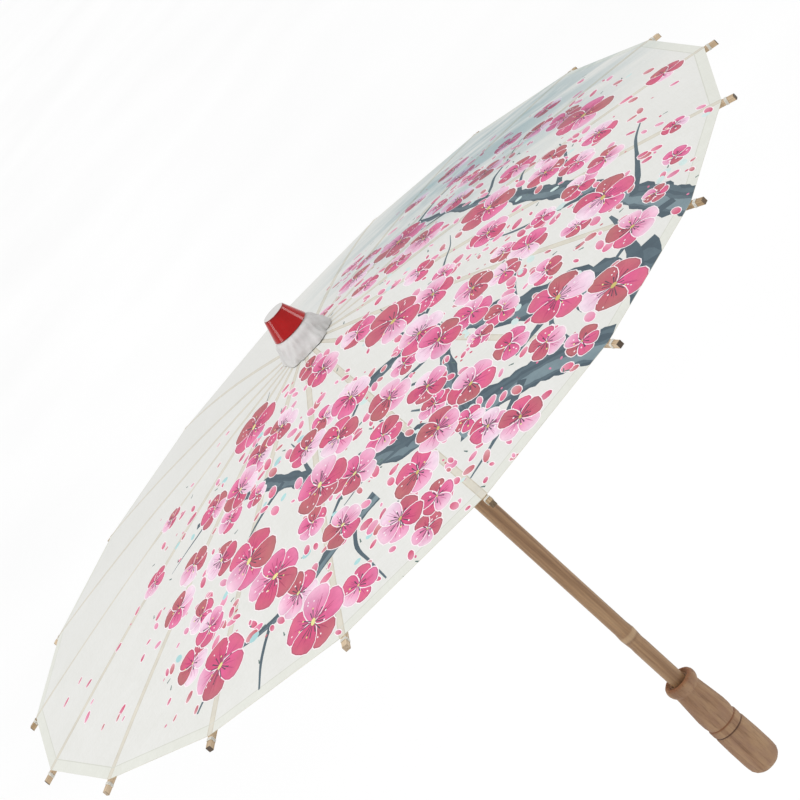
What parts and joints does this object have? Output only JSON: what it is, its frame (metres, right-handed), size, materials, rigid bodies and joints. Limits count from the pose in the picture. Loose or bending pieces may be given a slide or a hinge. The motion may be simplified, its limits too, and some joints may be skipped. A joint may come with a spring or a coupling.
{
  "type": "oil paper umbrella",
  "caption": "Folding paper parasol with bamboo ribs and stretchers strung on a fixed hub and a sliding runner, a turned handle and a lacquered finial.",
  "frame": {"origin": "centre of the handle's flat butt end", "axes": "+Z along the shaft towards the finial, +X along the first rib, canopy open at rest"},
  "size_m": [0.82, 0.8084, 0.6163],
  "materials": {
    "shaft_bamboo": "satin brown bamboo",
    "handle_wood": "bare turned wood",
    "hub_wood": "bare wood",
    "rib_bamboo": "split bamboo",
    "stretcher_bamboo": "split bamboo",
    "canopy_paper": "oiled, painted",
    "collar_paper": "crinkled",
    "thread": "waxed thread",
    "red_lacquer": "glossy lacquer",
    "catch_steel": "spring steel"
  },
  "bodies": {
    "root": {"shaft": "shaft_bamboo", "handle": "handle_wood", "hub": "hub_wood", "hub_pin": "rib_bamboo", "hub_thread": "thread", "finial": "red_lacquer", "paper_collar": "collar_paper", "canopy": "canopy_paper"},
    "runner": {"runner": "hub_wood", "runner_thread": "thread"},
    "catch": {"catch": "catch_steel"},
    "rib_01": {"rib_01": "rib_bamboo"},
    "rib_02": {"rib_02": "rib_bamboo"},
    "rib_03": {"rib_03": "rib_bamboo"},
    "rib_04": {"rib_04": "rib_bamboo"},
    "rib_05": {"rib_05": "rib_bamboo"},
    "rib_06": {"rib_06": "rib_bamboo"},
    "rib_07": {"rib_07": "rib_bamboo"},
    "rib_08": {"rib_08": "rib_bamboo"},
    "rib_09": {"rib_09": "rib_bamboo"},
    "rib_10": {"rib_10": "rib_bamboo"},
    "rib_11": {"rib_11": "rib_bamboo"},
    "rib_12": {"rib_12": "rib_bamboo"},
    "rib_13": {"rib_13": "rib_bamboo"},
    "rib_14": {"rib_14": "rib_bamboo"},
    "rib_15": {"rib_15": "rib_bamboo"},
    "rib_16": {"rib_16": "rib_bamboo"},
    "rib_17": {"rib_17": "rib_bamboo"},
    "rib_18": {"rib_18": "rib_bamboo"},
    "stretcher_01": {"stretcher_01": "stretcher_bamboo"},
    "stretcher_02": {"stretcher_02": "stretcher_bamboo"},
    "stretcher_03": {"stretcher_03": "stretcher_bamboo"},
    "stretcher_04": {"stretcher_04": "stretcher_bamboo"},
    "stretcher_05": {"stretcher_05": "stretcher_bamboo"},
    "stretcher_06": {"stretcher_06": "stretcher_bamboo"},
    "stretcher_07": {"stretcher_07": "stretcher_bamboo"},
    "stretcher_08": {"stretcher_08": "stretcher_bamboo"},
    "stretcher_09": {"stretcher_09": "stretcher_bamboo"},
    "stretcher_10": {"stretcher_10": "stretcher_bamboo"},
    "stretcher_11": {"stretcher_11": "stretcher_bamboo"},
    "stretcher_12": {"stretcher_12": "stretcher_bamboo"},
    "stretcher_13": {"stretcher_13": "stretcher_bamboo"},
    "stretcher_14": {"stretcher_14": "stretcher_bamboo"},
    "stretcher_15": {"stretcher_15": "stretcher_bamboo"},
    "stretcher_16": {"stretcher_16": "stretcher_bamboo"},
    "stretcher_17": {"stretcher_17": "stretcher_bamboo"},
    "stretcher_18": {"stretcher_18": "stretcher_bamboo"}
  },
  "joints": [
    {"name": "runner_slide", "type": "slide", "parent": "root", "child": "runner", "axis": [0, 0, -1], "range_m": [0, 0.21797], "deforming": ["canopy", "catch"]},
    {"name": "rib_01_hinge", "type": "hinge", "parent": "root", "child": "rib_01", "pos_m": [0.016, 0, 0.57353], "axis": [0, 1, 0], "range_deg": [0, 76.31]},
    {"name": "stretcher_01_hinge", "type": "hinge", "parent": "rib_01", "child": "stretcher_01", "pos_m": [0.169, 0, 0.55383], "axis": [0, 1, 0], "range_deg": [-129.06, 0]},
    {"name": "rib_02_hinge", "type": "hinge", "parent": "root", "child": "rib_02", "pos_m": [0.01504, 0.00547, 0.57353], "axis": [-0.342, 0.9397, 0], "range_deg": [0, 76.31]},
    {"name": "stretcher_02_hinge", "type": "hinge", "parent": "rib_02", "child": "stretcher_02", "pos_m": [0.15881, 0.0578, 0.55383], "axis": [-0.342, 0.9397, 0], "range_deg": [-129.06, 0]},
    {"name": "rib_03_hinge", "type": "hinge", "parent": "root", "child": "rib_03", "pos_m": [0.01226, 0.01028, 0.57353], "axis": [-0.6428, 0.766, 0], "range_deg": [0, 76.31]},
    {"name": "stretcher_03_hinge", "type": "hinge", "parent": "rib_03", "child": "stretcher_03", "pos_m": [0.12946, 0.10863, 0.55383], "axis": [-0.6428, 0.766, 0], "range_deg": [-129.06, 0]},
    {"name": "rib_04_hinge", "type": "hinge", "parent": "root", "child": "rib_04", "pos_m": [0.008, 0.01386, 0.57353], "axis": [-0.866, 0.5, 0], "range_deg": [0, 76.31]},
    {"name": "stretcher_04_hinge", "type": "hinge", "parent": "rib_04", "child": "stretcher_04", "pos_m": [0.0845, 0.14636, 0.55383], "axis": [-0.866, 0.5, 0], "range_deg": [-129.06, 0]},
    {"name": "rib_05_hinge", "type": "hinge", "parent": "root", "child": "rib_05", "pos_m": [0.00278, 0.01576, 0.57353], "axis": [-0.9848, 0.1736, 0], "range_deg": [0, 76.31]},
    {"name": "stretcher_05_hinge", "type": "hinge", "parent": "rib_05", "child": "stretcher_05", "pos_m": [0.02935, 0.16643, 0.55383], "axis": [-0.9848, 0.1736, 0], "range_deg": [-129.06, 0]},
    {"name": "rib_06_hinge", "type": "hinge", "parent": "root", "child": "rib_06", "pos_m": [-0.00278, 0.01576, 0.57353], "axis": [-0.9848, -0.1736, 0], "range_deg": [0, 76.31]},
    {"name": "stretcher_06_hinge", "type": "hinge", "parent": "rib_06", "child": "stretcher_06", "pos_m": [-0.02935, 0.16643, 0.55383], "axis": [-0.9848, -0.1736, 0], "range_deg": [-129.06, 0]},
    {"name": "rib_07_hinge", "type": "hinge", "parent": "root", "child": "rib_07", "pos_m": [-0.008, 0.01386, 0.57353], "axis": [-0.866, -0.5, 0], "range_deg": [0, 76.31]},
    {"name": "stretcher_07_hinge", "type": "hinge", "parent": "rib_07", "child": "stretcher_07", "pos_m": [-0.0845, 0.14636, 0.55383], "axis": [-0.866, -0.5, 0], "range_deg": [-129.06, 0]},
    {"name": "rib_08_hinge", "type": "hinge", "parent": "root", "child": "rib_08", "pos_m": [-0.01226, 0.01028, 0.57353], "axis": [-0.6428, -0.766, 0], "range_deg": [0, 76.31]},
    {"name": "stretcher_08_hinge", "type": "hinge", "parent": "rib_08", "child": "stretcher_08", "pos_m": [-0.12946, 0.10863, 0.55383], "axis": [-0.6428, -0.766, 0], "range_deg": [-129.06, 0]},
    {"name": "rib_09_hinge", "type": "hinge", "parent": "root", "child": "rib_09", "pos_m": [-0.01504, 0.00547, 0.57353], "axis": [-0.342, -0.9397, 0], "range_deg": [0, 76.31]},
    {"name": "stretcher_09_hinge", "type": "hinge", "parent": "rib_09", "child": "stretcher_09", "pos_m": [-0.15881, 0.0578, 0.55383], "axis": [-0.342, -0.9397, 0], "range_deg": [-129.06, 0]},
    {"name": "rib_10_hinge", "type": "hinge", "parent": "root", "child": "rib_10", "pos_m": [-0.016, 0, 0.57353], "axis": [0, -1, 0], "range_deg": [0, 76.31]},
    {"name": "stretcher_10_hinge", "type": "hinge", "parent": "rib_10", "child": "stretcher_10", "pos_m": [-0.169, 0, 0.55383], "axis": [0, -1, 0], "range_deg": [-129.06, 0]},
    {"name": "rib_11_hinge", "type": "hinge", "parent": "root", "child": "rib_11", "pos_m": [-0.01504, -0.00547, 0.57353], "axis": [0.342, -0.9397, 0], "range_deg": [0, 76.31]},
    {"name": "stretcher_11_hinge", "type": "hinge", "parent": "rib_11", "child": "stretcher_11", "pos_m": [-0.15881, -0.0578, 0.55383], "axis": [0.342, -0.9397, 0], "range_deg": [-129.06, 0]},
    {"name": "rib_12_hinge", "type": "hinge", "parent": "root", "child": "rib_12", "pos_m": [-0.01226, -0.01028, 0.57353], "axis": [0.6428, -0.766, 0], "range_deg": [0, 76.31]},
    {"name": "stretcher_12_hinge", "type": "hinge", "parent": "rib_12", "child": "stretcher_12", "pos_m": [-0.12946, -0.10863, 0.55383], "axis": [0.6428, -0.766, 0], "range_deg": [-129.06, 0]},
    {"name": "rib_13_hinge", "type": "hinge", "parent": "root", "child": "rib_13", "pos_m": [-0.008, -0.01386, 0.57353], "axis": [0.866, -0.5, 0], "range_deg": [0, 76.31]},
    {"name": "stretcher_13_hinge", "type": "hinge", "parent": "rib_13", "child": "stretcher_13", "pos_m": [-0.0845, -0.14636, 0.55383], "axis": [0.866, -0.5, 0], "range_deg": [-129.06, 0]},
    {"name": "rib_14_hinge", "type": "hinge", "parent": "root", "child": "rib_14", "pos_m": [-0.00278, -0.01576, 0.57353], "axis": [0.9848, -0.1736, 0], "range_deg": [0, 76.31]},
    {"name": "stretcher_14_hinge", "type": "hinge", "parent": "rib_14", "child": "stretcher_14", "pos_m": [-0.02935, -0.16643, 0.55383], "axis": [0.9848, -0.1736, 0], "range_deg": [-129.06, 0]},
    {"name": "rib_15_hinge", "type": "hinge", "parent": "root", "child": "rib_15", "pos_m": [0.00278, -0.01576, 0.57353], "axis": [0.9848, 0.1736, 0], "range_deg": [0, 76.31]},
    {"name": "stretcher_15_hinge", "type": "hinge", "parent": "rib_15", "child": "stretcher_15", "pos_m": [0.02935, -0.16643, 0.55383], "axis": [0.9848, 0.1736, 0], "range_deg": [-129.06, 0]},
    {"name": "rib_16_hinge", "type": "hinge", "parent": "root", "child": "rib_16", "pos_m": [0.008, -0.01386, 0.57353], "axis": [0.866, 0.5, 0], "range_deg": [0, 76.31]},
    {"name": "stretcher_16_hinge", "type": "hinge", "parent": "rib_16", "child": "stretcher_16", "pos_m": [0.0845, -0.14636, 0.55383], "axis": [0.866, 0.5, 0], "range_deg": [-129.06, 0]},
    {"name": "rib_17_hinge", "type": "hinge", "parent": "root", "child": "rib_17", "pos_m": [0.01226, -0.01028, 0.57353], "axis": [0.6428, 0.766, 0], "range_deg": [0, 76.31]},
    {"name": "stretcher_17_hinge", "type": "hinge", "parent": "rib_17", "child": "stretcher_17", "pos_m": [0.12946, -0.10863, 0.55383], "axis": [0.6428, 0.766, 0], "range_deg": [-129.06, 0]},
    {"name": "rib_18_hinge", "type": "hinge", "parent": "root", "child": "rib_18", "pos_m": [0.01504, -0.00547, 0.57353], "axis": [0.342, 0.9397, 0], "range_deg": [0, 76.31]},
    {"name": "stretcher_18_hinge", "type": "hinge", "parent": "rib_18", "child": "stretcher_18", "pos_m": [0.15881, -0.0578, 0.55383], "axis": [0.342, 0.9397, 0], "range_deg": [-129.06, 0]},
    {"name": "catch_press", "type": "hinge", "parent": "root", "child": "catch", "pos_m": [0, 0.0045, 0.37771], "axis": [1, 0, 0], "range_deg": [0, 5.6], "stiffness_Nm_per_rad": 0.25, "springref_deg": -5.73}
  ],
  "couplings": [
    {"joint": "rib_01_hinge", "follows": "runner_slide", "rad_per_m": 6.1087},
    {"joint": "stretcher_01_hinge", "follows": "runner_slide", "rad_per_m": -10.333},
    {"joint": "rib_02_hinge", "follows": "runner_slide", "rad_per_m": 6.1087},
    {"joint": "stretcher_02_hinge", "follows": "runner_slide", "rad_per_m": -10.333},
    {"joint": "rib_03_hinge", "follows": "runner_slide", "rad_per_m": 6.1087},
    {"joint": "stretcher_03_hinge", "follows": "runner_slide", "rad_per_m": -10.333},
    {"joint": "rib_04_hinge", "follows": "runner_slide", "rad_per_m": 6.1087},
    {"joint": "stretcher_04_hinge", "follows": "runner_slide", "rad_per_m": -10.333},
    {"joint": "rib_05_hinge", "follows": "runner_slide", "rad_per_m": 6.1087},
    {"joint": "stretcher_05_hinge", "follows": "runner_slide", "rad_per_m": -10.333},
    {"joint": "rib_06_hinge", "follows": "runner_slide", "rad_per_m": 6.1087},
    {"joint": "stretcher_06_hinge", "follows": "runner_slide", "rad_per_m": -10.333},
    {"joint": "rib_07_hinge", "follows": "runner_slide", "rad_per_m": 6.1087},
    {"joint": "stretcher_07_hinge", "follows": "runner_slide", "rad_per_m": -10.333},
    {"joint": "rib_08_hinge", "follows": "runner_slide", "rad_per_m": 6.1087},
    {"joint": "stretcher_08_hinge", "follows": "runner_slide", "rad_per_m": -10.333},
    {"joint": "rib_09_hinge", "follows": "runner_slide", "rad_per_m": 6.1087},
    {"joint": "stretcher_09_hinge", "follows": "runner_slide", "rad_per_m": -10.333},
    {"joint": "rib_10_hinge", "follows": "runner_slide", "rad_per_m": 6.1087},
    {"joint": "stretcher_10_hinge", "follows": "runner_slide", "rad_per_m": -10.333},
    {"joint": "rib_11_hinge", "follows": "runner_slide", "rad_per_m": 6.1087},
    {"joint": "stretcher_11_hinge", "follows": "runner_slide", "rad_per_m": -10.333},
    {"joint": "rib_12_hinge", "follows": "runner_slide", "rad_per_m": 6.1087},
    {"joint": "stretcher_12_hinge", "follows": "runner_slide", "rad_per_m": -10.333},
    {"joint": "rib_13_hinge", "follows": "runner_slide", "rad_per_m": 6.1087},
    {"joint": "stretcher_13_hinge", "follows": "runner_slide", "rad_per_m": -10.333},
    {"joint": "rib_14_hinge", "follows": "runner_slide", "rad_per_m": 6.1087},
    {"joint": "stretcher_14_hinge", "follows": "runner_slide", "rad_per_m": -10.333},
    {"joint": "rib_15_hinge", "follows": "runner_slide", "rad_per_m": 6.1087},
    {"joint": "stretcher_15_hinge", "follows": "runner_slide", "rad_per_m": -10.333},
    {"joint": "rib_16_hinge", "follows": "runner_slide", "rad_per_m": 6.1087},
    {"joint": "stretcher_16_hinge", "follows": "runner_slide", "rad_per_m": -10.333},
    {"joint": "rib_17_hinge", "follows": "runner_slide", "rad_per_m": 6.1087},
    {"joint": "stretcher_17_hinge", "follows": "runner_slide", "rad_per_m": -10.333},
    {"joint": "rib_18_hinge", "follows": "runner_slide", "rad_per_m": 6.1087},
    {"joint": "stretcher_18_hinge", "follows": "runner_slide", "rad_per_m": -10.333}
  ]
}
